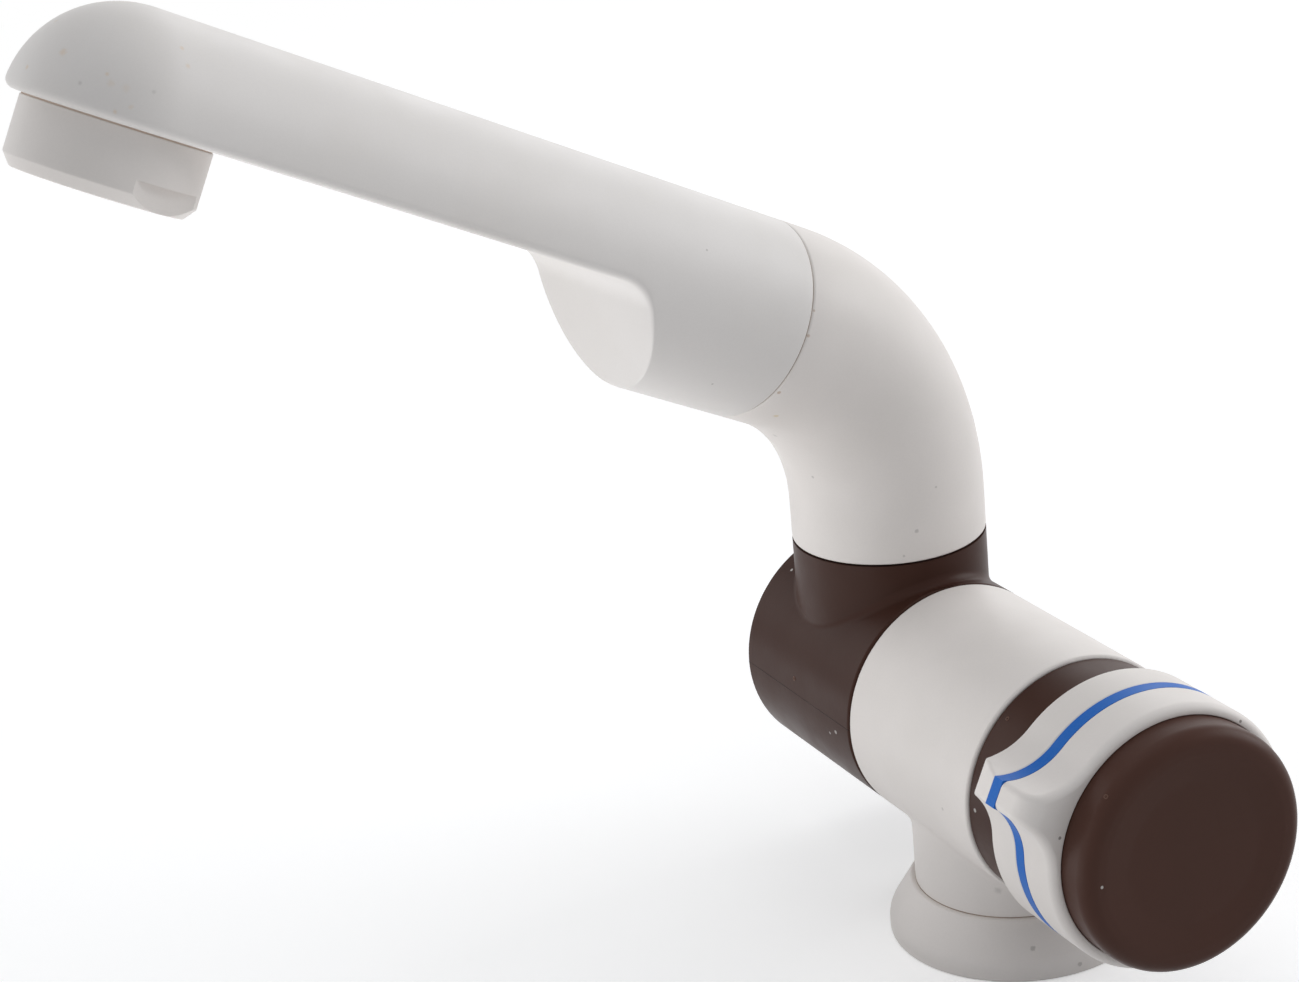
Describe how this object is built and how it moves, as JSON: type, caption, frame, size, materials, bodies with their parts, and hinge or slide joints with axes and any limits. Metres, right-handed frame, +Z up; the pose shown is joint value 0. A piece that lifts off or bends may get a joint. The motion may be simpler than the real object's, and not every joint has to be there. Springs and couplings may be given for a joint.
{
  "type": "folding automatic basin tap",
  "caption": "Cold-water basin tap with a lever knob that also starts a pump, a fold-down tee and a swivelling bent spout with a screwed outlet ring.",
  "frame": {"origin": "centre of the base flange's underside, on the deck", "axes": "+Z up out of the deck, -Y along the barrel to the knob, -X to the spout's side"},
  "size_m": [0.1591, 0.1007, 0.2372],
  "materials": {
    "ivory_plastic": "satin moulded ivory plastic",
    "brown_plastic": "fine-textured dark brown plastic",
    "blue_plastic": "satin blue plastic",
    "black_plastic": "moulded switch case",
    "white_acetal": "smooth acetal",
    "ceramic": "lapped ceramic",
    "brass": "machined",
    "steel": "stainless",
    "rubber": "soft seal",
    "dark_rubber": "aged seal"
  },
  "bodies": {
    "base": {"base_flange": "ivory_plastic", "base_gasket": "rubber", "mounting_shank": "brass", "rubber_washer": "rubber", "clamp_washer": "steel", "backnut": "brass", "inlet_pipe": "white_acetal", "inlet_o_ring": "rubber", "valve_body": "ivory_plastic", "collar_ring": "brown_plastic", "collar_screws": "steel", "switch_housing": "black_plastic", "switch_screws": "steel", "switch_terminals": "brass", "cartridge_seal": "rubber", "fixed_disc": "ceramic", "cartridge_housing": "brass", "gland_nut": "brass", "fold_seat_washer": "white_acetal", "fold_bolt": "brass", "fold_o_rings": "rubber", "fold_washer": "steel"},
    "knob": {"knob_rear_half": "ivory_plastic", "colour_disc": "blue_plastic", "knob_front_half": "ivory_plastic", "knob_cap": "brown_plastic", "knob_screw": "steel", "valve_spindle": "brass", "moving_disc": "ceramic", "spindle_o_rings": "rubber", "spindle_circlip": "steel", "switch_cam": "white_acetal"},
    "button": {"switch_button": "white_acetal"},
    "tee": {"fold_tee": "brown_plastic", "end_plug": "brown_plastic", "swivel_clip": "steel", "swivel_washer": "rubber"},
    "spout": {"elbow": "ivory_plastic", "swivel_o_rings": "rubber", "spout_shell": "ivory_plastic", "spout_pipe": "white_acetal", "spout_underside": "ivory_plastic", "spout_o_ring": "rubber", "outlet_ring": "ivory_plastic", "outlet_washer": "dark_rubber", "aerator_insert": "white_acetal", "aerator_mesh": "steel"}
  },
  "joints": [
    {"name": "knob_turn", "type": "hinge", "parent": "base", "child": "knob", "pos_m": [0, -0.03, 0.0333], "axis": [0, -1, 0], "range_deg": [0, 90]},
    {"name": "switch_button_slide", "type": "slide", "parent": "base", "child": "button", "axis": [0, 0, 1], "range_m": [0, 0.0006]},
    {"name": "fold", "type": "hinge", "parent": "base", "child": "tee", "pos_m": [0, 0.0338, 0.0333], "axis": [0, 1, 0], "range_deg": [0, 90]},
    {"name": "spout_swivel", "type": "hinge", "parent": "tee", "child": "spout", "pos_m": [0, 0.0338, 0.0578], "axis": [0, 0, 1], "range_deg": [-98.12, 81.88]}
  ],
  "couplings": [
    {"joint": "switch_button_slide", "follows": "knob_turn", "m_per_rad": 0.00038197}
  ]
}
